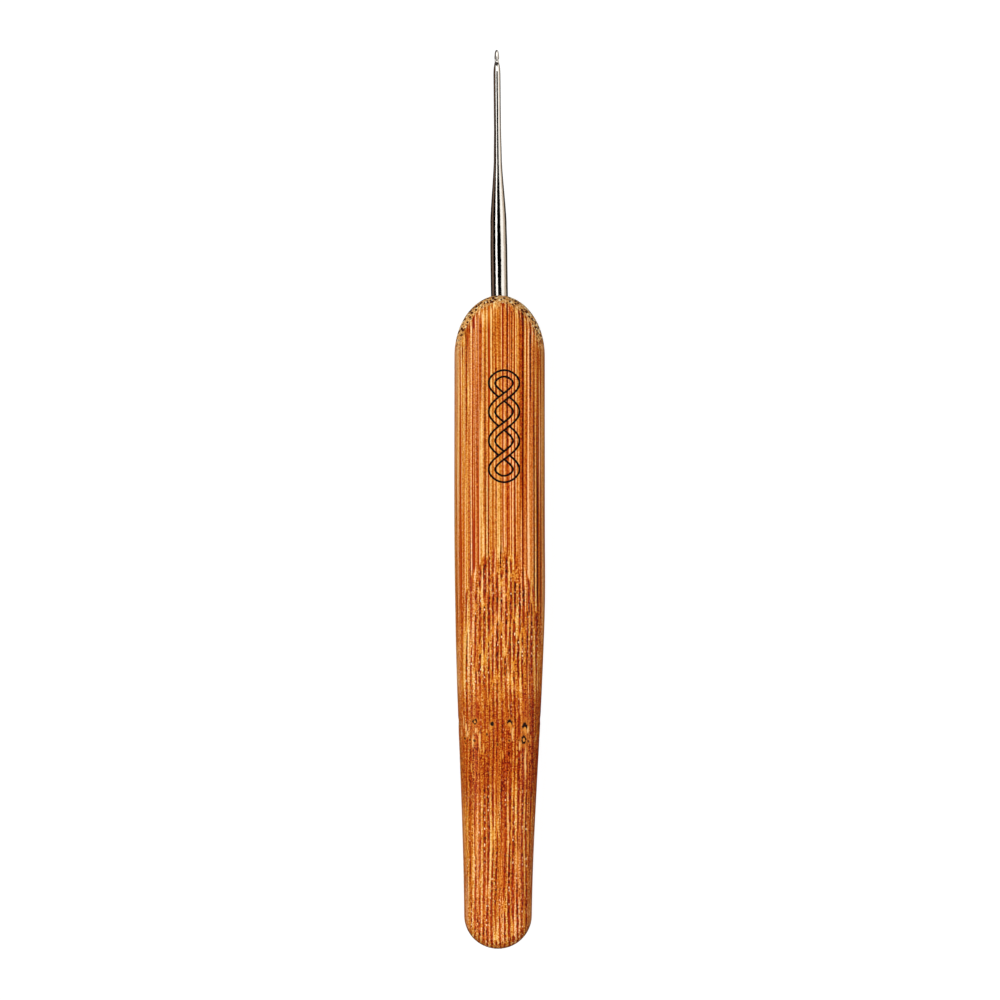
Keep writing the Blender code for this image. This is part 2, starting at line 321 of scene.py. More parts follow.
def build_handle():
    turn = handle_turns(196, 130)
    n = len(turn)
    rings = []
    rows = handle_rows()
    xs = half_width(rows)[:, None] * np.cos(turn)[None]
    ys = np.repeat(rows[:, None], n, axis=1)
    z = half_depth(xs.ravel(), ys.ravel()).reshape(xs.shape)
    s = np.sin(turn)[None]
    z = np.where(np.abs(s) < 1e-9, 0.0, z)
    z = np.where(s > 0, z * crown(xs, ys), -z)
    body = np.stack([xs, ys, z], axis=2)

    # the end of the dome, down to the mouth of the bore, which is a close fit on the shank
    mouth_r = SHANK_R + 0.012
    mouth = np.stack([mouth_r * np.cos(turn) - 0.10, mouth_r * np.sin(turn)], axis=1)
    first = body[0][:, [0, 2]]
    steps = 12
    for i in range(steps):
        f = (i / steps) ** 1.15
        xz = mouth * (1.0 - f) + first * f
        y = skin_y(xz[:, 0], xz[:, 1])
        rings.append(np.stack([xz[:, 0], y, xz[:, 1]], axis=1))
    soft = rings[0].copy()
    skin = np.concatenate([np.asarray(rings), body], axis=0)

    # relief along the normal, faded out at the mouth of the bore
    nxt = np.roll(skin, -1, axis=1) - np.roll(skin, 1, axis=1)
    along = np.gradient(skin, axis=0)
    normal = np.cross(nxt, along)
    normal /= np.maximum(np.linalg.norm(normal, axis=2, keepdims=True), 1e-12)
    mid = skin.mean(axis=1, keepdims=True)
    sign = np.sign(((skin - mid) * normal).sum(axis=2, keepdims=True).sum())
    normal *= sign
    h = relief(skin[..., 0].ravel(), skin[..., 1].ravel(), skin[..., 2].ravel()).reshape(skin.shape[:2])
    fade = np.clip(np.arange(len(skin)) / 6.0, 0.0, 1.0)[:, None]
    skin = skin + normal * (h * fade)[..., None]

    # the bore: a short close-fitting lip, then the clearance for the glue
    floor_y = HANDLE_TOP_Y - BORE_DEPTH
    bore = []
    for y, r, off in ((floor_y, BORE_R, 0.0), (HANDLE_TOP_Y - 3.0, BORE_R, 0.0),
                      (HANDLE_TOP_Y - 1.3, BORE_R, -0.02), (HANDLE_TOP_Y - 1.0, mouth_r + 0.01, -0.10)):
        bore.append(np.stack([r * np.cos(turn) + off, np.full(n, y), r * np.sin(turn)], axis=1))
    lip = soft.copy()
    lip[:, 1] -= 0.05
    lip[:, 0] = (mouth_r - 0.004) * np.cos(turn) - 0.10
    lip[:, 2] = (mouth_r - 0.004) * np.sin(turn)
    allr = np.concatenate([np.asarray(bore), lip[None], skin], axis=0)
    allr[..., 0] += handle_lean(allr[..., 1])
    allr[..., 2] += half_thickness(allr[..., 1])     # the back stays level, the front falls towards the butt
    end = np.array([handle_lean(BUTT_Y), BUTT_Y + 0.03, HALF_T_BUTT])
    start = np.array([0.0, floor_y - 0.6, AXIS_Z])

    # the map: u is the way round at the widest section, v the way along the front
    wide = body[len(body) // 3]
    step = np.linalg.norm(np.roll(wide, -1, axis=0) - wide, axis=1)
    u = np.concatenate([[0.0], np.cumsum(step)])
    u = 0.003 + 0.994 * u / u[-1]
    k = int(np.argmin(np.abs(turn - math.pi / 2)))
    line = allr[len(bore) + 1:, k]
    v = np.concatenate([[0.0], np.cumsum(np.linalg.norm(np.diff(line, axis=0), axis=1))])
    v = 0.040 + 0.955 * v / v[-1]
    v = np.concatenate([np.array([0.008, 0.018, 0.026, 0.032, 0.038]), v])
    obj = tube("handle_bamboo", allr, v, u, start, end, angle=math.radians(75))
    return obj


def front_z(x, y):
    """Height of the handle's front skin above the ground, in mm."""
    z = half_depth(x, y) * crown(x, y)
    return half_thickness(y) + z + relief(x, y, z)


# ------------------------------------------------------------------ the burnt ornament
def build_ornament():
    """A closed two-strand plait burnt into the grip: both edges of a cord that weaves over and under itself."""
    cx, cy, a, b, lobes, half = 0.66, 10.80, 1.78, 7.77, 4, 0.47
    line = 0.150
    fill = 0.985                    # near 1 the loops at the two ends are as long as the middle ones
    m = 2400
    s = np.linspace(0.0, 2 * math.pi, m, endpoint=False)

    def centre(s):
        return np.stack([a * np.sin(lobes * s), b * np.arcsin(fill * np.cos(s)) / math.asin(fill)], axis=-1)

    c = centre(s)
    t = np.roll(c, -1, axis=0) - np.roll(c, 1, axis=0)
    t /= np.linalg.norm(t, axis=1, keepdims=True)
    nrm = np.stack([-t[:, 1], t[:, 0]], axis=1)
    verts, faces = [], []
    prof = np.array([(-1.0, -0.045), (-1.0, 0.013), (-0.7, 0.022), (0.7, 0.022), (1.0, 0.013), (1.0, -0.045)])
    for side in (-1.0, 1.0):
        edge = c + side * half * nrm
        show = np.ones(m, bool)
        for k in range(1, lobes):
            over_first = k % 2 == 1
            sk = k * math.pi / lobes
            under = 2 * math.pi - sk if over_first else sk
            over = sk if over_first else 2 * math.pi - sk
            near = np.abs((s - under + math.pi) % (2 * math.pi) - math.pi) < 0.34
            os_ = np.linspace(over - 0.36, over + 0.36, 400)
            oc = centre(os_)
            d = np.sqrt(((edge[:, None] - oc[None]) ** 2).sum(-1)).min(axis=1)
            show &= ~(near & (d < half + 0.02))
        runs, start = [], None
        order = np.arange(m)
        if not show.all():
            first = int(np.argmin(show))
            order = np.roll(order, -first)
        closed = bool(show.all())
        for i in order:
            if show[i]:
                if start is None:
                    runs.append([])
                    start = i
                runs[-1].append(i)
            else:
                start = None
        for run in runs:
            idx = np.array(run)[::3] if len(run) > 12 else np.array(run)
            if not closed and idx[-1] != run[-1]:
                idx = np.append(idx, run[-1])
            p = edge[idx]
            if len(p) < 3:
                continue
            if closed:
                tt = np.roll(p, -1, axis=0) - np.roll(p, 1, axis=0)
            else:
                tt = np.gradient(p, axis=0)
            tt /= np.linalg.norm(tt, axis=1, keepdims=True)
            nn = np.stack([-tt[:, 1], tt[:, 0]], axis=1)
            wob = 1.0 + 0.10 * noise(p[:, 0] * 3, p[:, 1] * 3, 0, 21)
            base = len(verts)
            for off, up in prof:
                q = p + nn * (line * off * wob)[:, None]
                zz = front_z(q[:, 0] + cx, q[:, 1] + cy) + up
                verts_part = np.stack([q[:, 0] + cx, q[:, 1] + cy, zz], axis=1)
                verts.extend(list(verts_part * MM))
            L, W = len(p), len(prof)
            rng = range(L if closed else L - 1)
            for i in rng:
                j = (i + 1) % L
                for w in range(W):
                    x = (w + 1) % W
                    faces.append((base + w * L + i, base + w * L + j, base + x * L + j, base + x * L + i))
            if not closed:
                faces.append(tuple(base + w * L for w in range(W)))
                faces.append(tuple(base + w * L + L - 1 for w in reversed(range(W))))
    mesh = bpy.data.meshes.new("burnt_plait")
    mesh.from_pydata([tuple(v) for v in verts], [], faces)
    import bmesh
    bm = bmesh.new()
    bm.from_mesh(mesh)
    bmesh.ops.recalc_face_normals(bm, faces=bm.faces)
    bm.to_mesh(mesh)
    bm.free()
    mesh.shade_smooth()
    mesh.set_sharp_from_angle(angle=math.radians(45))
    obj = bpy.data.objects.new("burnt_plait", mesh)
    bpy.context.scene.collection.objects.link(obj)
    return obj


# ------------------------------------------------------------------ the steel hook
def steel_radius(y):
    r = NECK_R + (NECK_END_R - NECK_R) * smooth((NECK_GROWS_Y - y) / (NECK_GROWS_Y - CONE_FROM_Y))
    t = np.clip((CONE_FROM_Y - y) / (CONE_FROM_Y - CONE_TO_Y), 0.0, 1.0)
    r = r + (CONE_END_R - NECK_END_R) * (0.6 * t + 0.4 * smooth(t))
    return r + (SHANK_R - CONE_END_R) * smooth((CONE_TO_Y - y) / (CONE_TO_Y - SHANK_FROM_Y))


def head_sections(steps):
    pts = np.array(HEAD)
    pts = np.concatenate([2 * pts[:1] - pts[1:2], pts, 2 * pts[-1:] - pts[-2:-1]])
    out = []
    for i in range(1, len(pts) - 2):
        p0, p1, p2, p3 = pts[i - 1:i + 3]
        for k in range(steps):
            t = k / steps
            out.append(0.5 * ((2 * p1) + (p2 - p0) * t + (2 * p0 - 5 * p1 + 4 * p2 - p3) * t ** 2
                              + (3 * p1 - p0 - 3 * p2 + p3) * t ** 3))
    out.append(pts[-2])
    return np.array(out)


def build_steel():
    n = 112
    turn = np.linspace(-math.pi / 2, 1.5 * math.pi, n, endpoint=False)
    rings = []
    # the blunt tip is closed with a few rings that round it off
    first = np.array(HEAD[0])
    for k in (0.25, 0.5, 0.72, 0.88):
        w = math.sqrt(1 - (1 - k) ** 2)
        uf = 0.045 * k * 1.0
        front = np.array((TIP_Y - uf, 0.015 + (first[1] - 0.015) * w))
        back = np.array((TIP_Y - uf, 0.015 + (first[3] - 0.015) * w))
        mid, half = 0.5 * (front + back), 0.5 * (front - back)
        yz = mid[None] + np.sin(turn)[:, None] * half[None]
        rings.append(np.stack([first[4] * w * np.cos(turn), yz[:, 0], yz[:, 1]], axis=1))
    for uf, zf, ub, zb, w in head_sections(9):
        front, back = np.array((TIP_Y - uf, zf)), np.array((TIP_Y - ub, zb))
        mid, half = 0.5 * (front + back), 0.5 * (front - back)
        yz = mid[None] + np.sin(turn)[:, None] * half[None]
        rings.append(np.stack([w * np.cos(turn), yz[:, 0], yz[:, 1]], axis=1))
    tang_y = HANDLE_TOP_Y - TANG_LEN
    ys = np.concatenate([np.arange(TIP_Y - 3.9, HANDLE_TOP_Y - 1.0, -0.24),
                         np.linspace(HANDLE_TOP_Y - 1.2, tang_y + TANG_CHAMFER, 20)])
    for y in ys:
        r = float(steel_radius(y))
        rings.append(np.stack([r * np.cos(turn), np.full(n, y), r * np.sin(turn)], axis=1))
    r = SHANK_R - TANG_CHAMFER
    rings.append(np.stack([r * np.cos(turn), np.full(n, tang_y), r * np.sin(turn)], axis=1))
    rings = np.array(rings)
    # grinding and plating leave the wire very slightly uneven
    x, y, z = rings[..., 0], rings[..., 1], rings[..., 2]
    rad = np.hypot(x, z)
    uneven = 0.0040 * noise(x / 0.55, y / 2.3, z / 0.55, 31) + 0.0018 * noise(x / 0.22, y / 0.9, z / 0.22, 33)
    uneven *= np.clip((rad - 0.25) / 0.5, 0.0, 1.0) * smooth((TIP_Y - 3.0 - y) / 2.0)
    k = 1.0 + (uneven - 0.004) / np.maximum(rad, 0.2)
    rings[..., 0] *= k
    rings[..., 2] *= k
    rings[..., 0] += lean(rings[..., 1])
    rings[..., 2] += AXIS_Z
    u = np.linspace(0.003, 0.997, n + 1)
    line = rings.mean(axis=1)
    v = np.concatenate([[0.0], np.cumsum(np.abs(np.diff(line[:, 1])) + 1e-4)])
    v = 0.004 + 0.992 * v / v[-1]
    tip_x = float(lean(np.array(TIP_Y)))
    return tube("hook_steel", rings, v, u, (tip_x, TIP_Y - 0.002, AXIS_Z + 0.015),
                (float(lean(np.array(tang_y))), tang_y, AXIS_Z), angle=math.radians(50))


# ------------------------------------------------------------------ node-graph helpers
class Graph:
    def __init__(self, name):
        self.mat = bpy.data.materials.new(name)
        self.mat.use_nodes = True
        self.t = self.mat.node_tree
        self.t.nodes.clear()
        self.out = self.t.nodes.new("ShaderNodeOutputMaterial")

    def node(self, kind, **props):
        n = self.t.nodes.new(kind)
        for k, v in props.items():
            setattr(n, k, v)
        return n

    def put(self, socket, value):
        if isinstance(value, bpy.types.NodeSocket):
            self.t.links.new(value, socket)
        else:
            socket.default_value = value

    def math(self, op, a, b=None, c=None, clamp=False):
        n = self.node("ShaderNodeMath", operation=op, use_clamp=clamp)
        for s, v in zip(n.inputs, (a, b, c)):
            if v is not None:
                self.put(s, v)
        return n.outputs[0]

    def vmath(self, op, a, b=None):
        n = self.node("ShaderNodeVectorMath", operation=op)
        self.put(n.inputs[0], a)
        if b is not None:
            self.put(n.inputs[1], b)
        return n.outputs["Value"] if op in ("LENGTH", "DISTANCE", "DOT_PRODUCT") else n.outputs["Vector"]

    def xyz(self, x, y, z):
        n = self.node("ShaderNodeCombineXYZ")
        for s, v in zip(n.inputs, (x, y, z)):
            self.put(s, v)
        return n.outputs[0]

    def sep(self, v):
        n = self.node("ShaderNodeSeparateXYZ")
        self.put(n.inputs[0], v)
        return n.outputs

    def noise(self, vec, scale=1.0, detail=2.0, rough=0.5, dist=0.0):
        n = self.node("ShaderNodeTexNoise")
        self.put(n.inputs["Vector"], vec)
        n.inputs["Scale"].default_value = scale
        n.inputs["Detail"].default_value = detail
        n.inputs["Roughness"].default_value = rough
        n.inputs["Distortion"].default_value = dist
        return n.outputs["Fac"]

    def hash2(self, a, b):
        """Three random numbers for each pair of whole numbers."""
        n = self.node("ShaderNodeTexWhiteNoise", noise_dimensions="2D")
        self.put(n.inputs["Vector"], self.xyz(a, b, 0.0))
        return self.sep(n.outputs["Color"])

    def voronoi(self, vec, scale=1.0, random=1.0, feature="F1", dim="3D"):
        n = self.node("ShaderNodeTexVoronoi", feature=feature, voronoi_dimensions=dim)
        self.put(n.inputs["Vector"], vec)
        n.inputs["Scale"].default_value = scale
        n.inputs["Randomness"].default_value = random
        return n

    def ramp(self, fac, stops, interp="LINEAR"):
        n = self.node("ShaderNodeValToRGB")
        n.color_ramp.interpolation = interp
        e = n.color_ramp.elements
        while len(e) < len(stops):
            e.new(0.5)
        for el, (p, c) in zip(e, stops):
            el.position = p
            el.color = c if len(c) == 4 else (*c, 1.0)
        self.put(n.inputs[0], fac)
        return n.outputs["Color"]

    def step(self, value, lo, hi, a=0.0, b=1.0, smoothly=True):
        """a below lo, b above hi, eased between."""
        n = self.node("ShaderNodeMapRange", interpolation_type="SMOOTHSTEP" if smoothly else "LINEAR")
        for s, v in zip(("Value", "From Min", "From Max", "To Min", "To Max"), (value, lo, hi, a, b)):
            self.put(n.inputs[s], v)
        return n.outputs["Result"]

    def toward(self, value, fac, target):
        """The value moved towards the target by the factor."""
        return self.math("MULTIPLY_ADD", fac, self.math("SUBTRACT", target, value), value)

    def band(self, value, lo, hi, size):
        """-size/2 below lo, +size/2 above hi."""
        return self.step(value, lo, hi, -size / 2, size / 2)

    def mix(self, fac, a, b, blend="MIX"):
        n = self.node("ShaderNodeMix", data_type="RGBA", blend_type=blend)
        n.clamp_factor = True
        self.put(n.inputs["Factor"], fac)
        self.put(n.inputs[6], a if isinstance(a, bpy.types.NodeSocket) else (*a, 1.0))
        self.put(n.inputs[7], b if isinstance(b, bpy.types.NodeSocket) else (*b, 1.0))
        return n.outputs[2]

    def bump(self, height, distance, strength=1.0, normal=None):
        n = self.node("ShaderNodeBump")
        n.inputs["Strength"].default_value = strength
        n.inputs["Distance"].default_value = distance
        self.put(n.inputs["Height"], height)
        if normal is not None:
            self.put(n.inputs["Normal"], normal)
        return n.outputs["Normal"]

    def shader(self, color, rough, normal=None, **const):
        n = self.node("ShaderNodeBsdfPrincipled")
        self.put(n.inputs["Base Color"], color if isinstance(color, bpy.types.NodeSocket) else (*color, 1.0))
        self.put(n.inputs["Roughness"], rough)
        if normal is not None:
            self.put(n.inputs["Normal"], normal)
        for k, v in const.items():
            n.inputs[k.replace("_", " ")].default_value = v
        self.t.links.new(n.outputs[0], self.out.inputs["Surface"])
        return n

    def place(self):
        """Object coordinates in millimetres."""
        tc = self.node("ShaderNodeTexCoord")
        return self.vmath("MULTIPLY", tc.outputs["Object"], (1000.0, 1000.0, 1000.0))


# ------------------------------------------------------------------ materials
def bamboo():
    g = Graph("carbonised_bamboo_lacquered")
    p = g.place()
    x, y, z = g.sep(p)

    # The grip's upper half is cut along one fibre layer.  Below an arch the cut runs down through
    # the layers, so that each fibre bundle comes to the surface and dips under it again.
    ax = g.math("ABSOLUTE", x)
    drop = g.math("MULTIPLY", g.math("MULTIPLY", x, x), 0.22)
    below = g.math("MAXIMUM", g.math("SUBTRACT", g.math("SUBTRACT", ARCH_Y, y), drop), 0.0)
    cut = g.math("MULTIPLY", g.math("MINIMUM", below, 24.0), 0.135)
    cut = g.math("ADD", cut, g.math("MULTIPLY", g.math("MAXIMUM", g.math("SUBTRACT", below, 24.0), 0.0), 0.075))
    cut = g.math("MULTIPLY", cut, g.step(ax, 2.4, 6.6, 1.0, 0.42))
    open_ = g.step(below, 0.0, 3.5)
    wander = g.noise(g.vmath("MULTIPLY", p, (0.8, 0.10, 0.8)), 1.0, 2.0)
    wander = g.math("MULTIPLY", g.math("MULTIPLY", g.math("SUBTRACT", wander, 0.5), 0.55), open_)
    sway = g.noise(g.vmath("MULTIPLY", p, (0.10, 0.055, 0.10)), 1.0, 1.0)
    sway = g.math("MULTIPLY", g.math("SUBTRACT", sway, 0.5), 1.3)
    sway = g.math("MULTIPLY", sway, g.step(y, -14.0, -30.0, 0.12, 1.0))
    jitter = g.noise(g.vmath("MULTIPLY", p, (1.2, 0.9, 1.2)), 1.0, 1.0)
    jitter = g.math("MULTIPLY", g.math("SUBTRACT", jitter, 0.5), g.math("MULTIPLY_ADD", open_, 0.12, 0.03))
    # on the rounded sides the layers are seen edge on, so the lines follow the depth there
    turned = g.math("ABSOLUTE", g.sep(g.node("ShaderNodeNewGeometry").outputs["Normal"])[0])
    depth = g.math("MULTIPLY", g.math("SUBTRACT", 8.2, z), g.step(turned, 0.76, 0.99, 0.0, 0.85))
    depth = g.math("MULTIPLY", depth, g.math("SIGN", x))
    xs = g.math("ADD", g.math("ADD", g.math("ADD", x, depth), sway), jitter)
    zs = g.math("ADD", g.math("ADD", z, cut), wander)

    def across(fx, fy, fz, shift):
        return g.xyz(g.math("MULTIPLY_ADD", xs, fx, shift), g.math("MULTIPLY", y, fy),
                     g.math("MULTIPLY_ADD", zs, fz, shift * 0.37))

    # long fibre lines at several widths, gathered in one tone from 0 (dark) to 1 (pale)
    broad = g.noise(across(0.42, 0.012, 0.30, 5.3), 1.0, 1.0)
    bands = g.noise(across(1.9, 0.014, 0.9, 13.9), 1.0, 0.0)
    mid = g.noise(across(3.7, 0.022, 1.5, 23.3), 1.0, 0.0)
    thin = g.noise(across(5.4, 0.030, 2.4, 57.1), 1.0, 0.0)
    dark = g.noise(across(3.4, 0.010, 1.3, 41.9), 1.0, 0.0)
    grain = g.noise(g.vmath("MULTIPLY", p, (5.0, 1.4, 5.0)), 1.0, 1.0, 0.6)
    speckle = g.noise(g.vmath("MULTIPLY", p, (5.2, 4.8, 5.2)), 1.0, 0.0)
    closed = g.step(below, 8.5, 0.5, 0.40, 1.0)

    tone = g.math("ADD", g.band(broad, 0.35, 0.65, 0.03), 0.70)
    tone = g.math("ADD", tone, g.math("MULTIPLY", g.band(bands, 0.42, 0.58, 0.08), closed))
    tone = g.math("ADD", tone, g.math("MULTIPLY", g.band(mid, 0.45, 0.55, 0.22), g.math("MULTIPLY_ADD", closed, 0.5, 0.5)))
    tone = g.math("ADD", tone, g.band(thin, 0.46, 0.54, 0.40))
    mottle = g.math("MULTIPLY", g.math("SUBTRACT", speckle, 0.5), g.math("MULTIPLY_ADD", open_, 0.90, 0.60))
    tone = g.math("ADD", tone, mottle)

    # the fibre bundles of the layer that the cut follows: evenly set, each of its own width and darkness
    c0 = g.math("MULTIPLY_ADD", xs, 1.80, 0.37)
    col0 = g.math("FLOOR", c0)
    r0 = g.hash2(col0, 3.0)
    u0 = g.math("SUBTRACT", g.math("SUBTRACT", g.math("SUBTRACT", c0, col0), 0.5), g.math("MULTIPLY_ADD", r0[1], 0.30, -0.15))
    d0 = g.math("DIVIDE", g.math("ABSOLUTE", u0), g.math("MULTIPLY_ADD", r0[0], 0.13, 0.17))
    bundle = g.math("MULTIPLY", g.step(d0, 1.10, 0.90), closed)
    tone = g.math("SUBTRACT", tone, g.math("MULTIPLY", bundle, g.math("MULTIPLY_ADD", r0[2], 0.38, 0.20)))
    darkest = g.math("MULTIPLY", g.step(dark, 0.605, 0.630), closed)
    darkest = g.math("MULTIPLY", darkest, g.step(x, 3.0, 4.6, 1.0, 0.35))
    tone = g.toward(tone, g.math("MULTIPLY", darkest, 0.80), 0.10)

    # fibre bundles laid open by the slanting cut: one column of them beside the other, each a needle
    # that tapers where it dips under the surface, with its open vessels in the upper end
    ragged = g.noise(g.vmath("MULTIPLY", p, (5.5, 2.2, 5.5)), 1.0, 2.0, 0.65)
    cx = g.math("ADD", g.math("MULTIPLY", xs, 1.54), g.math("MULTIPLY_ADD", ragged, 0.22, -0.11))
    column = g.math("FLOOR", cx)
    shift = g.hash2(column, 7.0)
    t = g.math("ADD", g.math("MULTIPLY", zs, 1.16), g.math("MULTIPLY", shift[0], 5.0))
    row = g.math("FLOOR", t)
    rnd = g.hash2(column, row)
    u = g.math("SUBTRACT", g.math("SUBTRACT", g.math("SUBTRACT", cx, column), 0.5), g.math("MULTIPLY_ADD", rnd[1], 0.20, -0.10))
    v = g.math("SUBTRACT", g.math("SUBTRACT", g.math("SUBTRACT", t, row), 0.5), g.math("MULTIPLY_ADD", rnd[2], 0.08, -0.04))
    half = g.math("MULTIPLY_ADD", rnd[0], 0.12, 0.25)
    du = g.math("DIVIDE", u, half)
    dv = g.math("DIVIDE", v, g.math("MULTIPLY_ADD", rnd[1], 0.10, 0.415))
    dv2 = g.math("MULTIPLY", dv, dv)
    dist = g.math("SQRT", g.math("ADD", g.math("MULTIPLY", du, du), g.math("MULTIPLY", dv2, dv2)))
    strength = g.math("MULTIPLY", g.step(y, -24.5, -30.0, 1.0, 0.60),
                      g.step(g.math("MULTIPLY_ADD", rnd[2], -4.2, below), 0.0, 0.9))
    strength = g.math("MAXIMUM", g.math("MULTIPLY", strength, g.step(y, -33.0, -37.0, 1.0, 0.45)), g.step(y, -39.0, -44.0, 0.0, 0.86))
    strength = g.math("MULTIPLY", strength, g.step(ax, 5.0, 6.4, 1.0, 0.50))
    needle = g.math("MULTIPLY", g.step(dist, 1.08, 0.88), strength)
    flank = g.math("MULTIPLY", g.math("MULTIPLY", g.step(dist, 1.75, 1.40), g.step(dist, 0.98, 1.15)), strength)
    upper = g.step(dv, 0.25, -0.25)
    inside = g.math("MULTIPLY_ADD", grain, 0.9, -0.33)
    keel = g.math("ABSOLUTE", g.math("SUBTRACT", g.math("SUBTRACT", cx, column), 0.5))
    keel = g.math("MULTIPLY", g.step(keel, 0.20, 0.11), open_)
    tone = g.math("SUBTRACT", tone, g.math("MULTIPLY", open_, 0.02))
    tone = g.toward(tone, g.math("MULTIPLY", flank, 0.48), 0.75)
    tone = g.toward(tone, g.math("MULTIPLY", keel, 0.50), 0.40)
    tone = g.toward(tone, g.math("MULTIPLY", needle, g.math("MULTIPLY_ADD", rnd[2], 0.16, 0.82)), inside)

    # the node and the wood below it are darker and redder, with short pale threads
    nodal = g.math("MULTIPLY", g.step(y, -26.5, -31.5), g.step(y, -47.5, -39.5))
    shade = g.noise(g.vmath("MULTIPLY", p, (0.6, 0.35, 0.6)), 1.0, 1.0)
    tone = g.toward(tone, g.math("MULTIPLY", nodal, 0.38), 0.34)
    tone = g.math("SUBTRACT", tone, g.math("MULTIPLY", nodal, g.math("MULTIPLY_ADD", shade, 0.14, 0.070)))
    tone = g.math("ADD", tone, g.math("MULTIPLY", g.math("MULTIPLY", mottle, nodal), 0.06))
    tone = g.math("SUBTRACT", tone, g.math("MULTIPLY", nodal, g.step(y, -34.5, -37.5, 0.0, 0.045)))
    threads = g.voronoi(g.vmath("MULTIPLY", p, (2.2, 0.36, 2.2)), 1.0, 1.0, "F1", "3D")
    tp = g.sep(threads.outputs["Color"])
    thread = g.math("MULTIPLY", g.step(threads.outputs["Distance"], 0.32, 0.20), g.step(tp[0], 0.60, 0.64))
    near_node = g.math("MULTIPLY", g.step(y, -28.0, -31.0), g.step(y, -44.5, -38.5))
    tone = g.toward(tone, g.math("MULTIPLY", g.math("MULTIPLY", thread, near_node), 0.60), 0.84)
    fleck = g.voronoi(g.vmath("MULTIPLY", p, (2.6, 1.7, 2.6)), 1.0, 1.0, "F1", "3D")
    fpick = g.sep(fleck.outputs["Color"])
    flecks = g.math("MULTIPLY", g.step(fleck.outputs["Distance"], 0.30, 0.18), g.step(fpick[0], 0.58, 0.62))
    row = g.math("MULTIPLY", g.step(y, -33.6, -34.4), g.step(y, -38.0, -36.8))
    tone = g.toward(tone, g.math("MULTIPLY", g.math("MULTIPLY", flecks, row), 0.85), 0.05)

    # painted light: paler towards the left side and darker towards the right, as if lit from the left, and a painted
    # soft highlight on the left shoulder of the dome
    tone = g.math("ADD", tone, g.step(x, -6.5, 6.5, 0.050, -0.050, False))
    # painted highlight: a soft pale patch on the dome's left shoulder
    painted_highlight_spot = g.vmath("LENGTH", g.vmath("MULTIPLY", g.vmath("SUBTRACT", p, (-2.0, 27.6, 0.0)), (1.0 / 1.7, 1.0 / 2.6, 0.0)))
    tone = g.math("ADD", tone, g.step(painted_highlight_spot, 1.2, 0.1, 0.0, 0.22))

    col = g.ramp(tone, PALETTE)
    warm = g.noise(across(0.9, 0.02, 0.5, 71.7), 1.0, 1.0)
    col = g.mix(g.step(warm, 0.38, 0.62), g.mix(1.0, col, (0.99, 1.05, 0.85), "MULTIPLY"),
                g.mix(1.0, col, (1.01, 0.95, 1.02), "MULTIPLY"))
    col = g.mix(nodal, col, g.mix(1.0, col, (0.98, 1.01, 1.25), "MULTIPLY"))
    # painted sheen: the left side paler and less saturated, as a broad reflection of the light on that side
    col = g.mix(g.step(x, 1.5, -6.0), col, g.mix(1.0, col, (1.0, 1.08, 1.22), "MULTIPLY"))

    pores = g.voronoi(g.vmath("MULTIPLY", p, (3.6, 2.3, 3.6)), 1.0, 0.9, "F1", "3D")
    pick = g.sep(pores.outputs["Color"])
    pore = g.math("MULTIPLY", g.step(pores.outputs["Distance"], 0.46, 0.34), needle)
    glint = g.math("MULTIPLY", g.step(pores.outputs["Distance"], 0.36, 0.24), needle)
    dark_pore = g.math("MULTIPLY", g.math("MULTIPLY", pore, g.step(upper, 0.0, 1.0, 0.35, 1.0)), g.step(pick[0], 0.40, 0.46))
    # pale specks at the upper ends of the open bundles: partly the paler fill of the vessels, partly painted glints of
    # light
    pale_speck_and_glint = g.math("MULTIPLY", g.math("MULTIPLY", glint, upper), g.step(pick[0], 0.15, 0.11))
    pale_speck_and_glint = g.math("MULTIPLY", pale_speck_and_glint, g.step(strength, 0.55, 0.75))
    tan_pore = g.math("MULTIPLY", g.math("MULTIPLY", pore, g.step(pick[0], 0.34, 0.30)), g.step(upper, 0.0, 1.0, 0.30, 0.70))
    col = g.mix(tan_pore, col, (0.860, 0.400, 0.160))
    col = g.mix(g.math("MULTIPLY", dark_pore, 0.95), col, (0.030, 0.004, 0.0015))
    col = g.mix(g.math("MULTIPLY", pale_speck_and_glint, 0.95), col, (1.00, 0.740, 0.460))

    # fibres cut across, round the rim of the dome; round the butt a painted dark rim, the shade of the surface curving
    # away
    rx = g.math("MULTIPLY", x, 1.0 / HALF_W)
    ry = g.math("MULTIPLY", g.math("SUBTRACT", y, DOME_Y), 1.0 / DOME_LEN)
    rho = g.math("SQRT", g.math("ADD", g.math("MULTIPLY", rx, rx), g.math("MULTIPLY", ry, ry)))
    edge_noise = g.math("MULTIPLY_ADD", ragged, 0.10, -0.05)
    end = g.math("MULTIPLY", g.step(g.math("ADD", rho, edge_noise), 0.845, 0.885), g.step(y, 21.0, 25.0))
    bx = g.math("MULTIPLY", g.math("ADD", x, 0.24), 1.0 / HALF_W_BUTT)
    by = g.math("MULTIPLY", g.math("SUBTRACT", ROUND_Y, y), 1.0 / BUTT_LEN)
    rho2 = g.math("SQRT", g.math("ADD", g.math("MULTIPLY", bx, bx), g.math("MULTIPLY", by, by)))
    butt_rim_painted_shade = g.math("MULTIPLY", g.step(g.math("ADD", rho2, edge_noise), 0.93, 0.965), g.step(y, ROUND_Y - 0.4, ROUND_Y - 2.0))
    dots = g.voronoi(g.xyz(g.math("MULTIPLY", x, 2.4), g.math("MULTIPLY", y, 2.6), g.math("MULTIPLY", z, 1.15)), 1.0, 0.95, "F1", "3D")
    dpick = g.sep(dots.outputs["Color"])
    dot = g.step(dots.outputs["Distance"], 0.56, 0.48)
    face_col = g.mix(g.step(speckle, 0.40, 0.60), (0.56, 0.190, 0.025), (1.00, 0.600, 0.210))
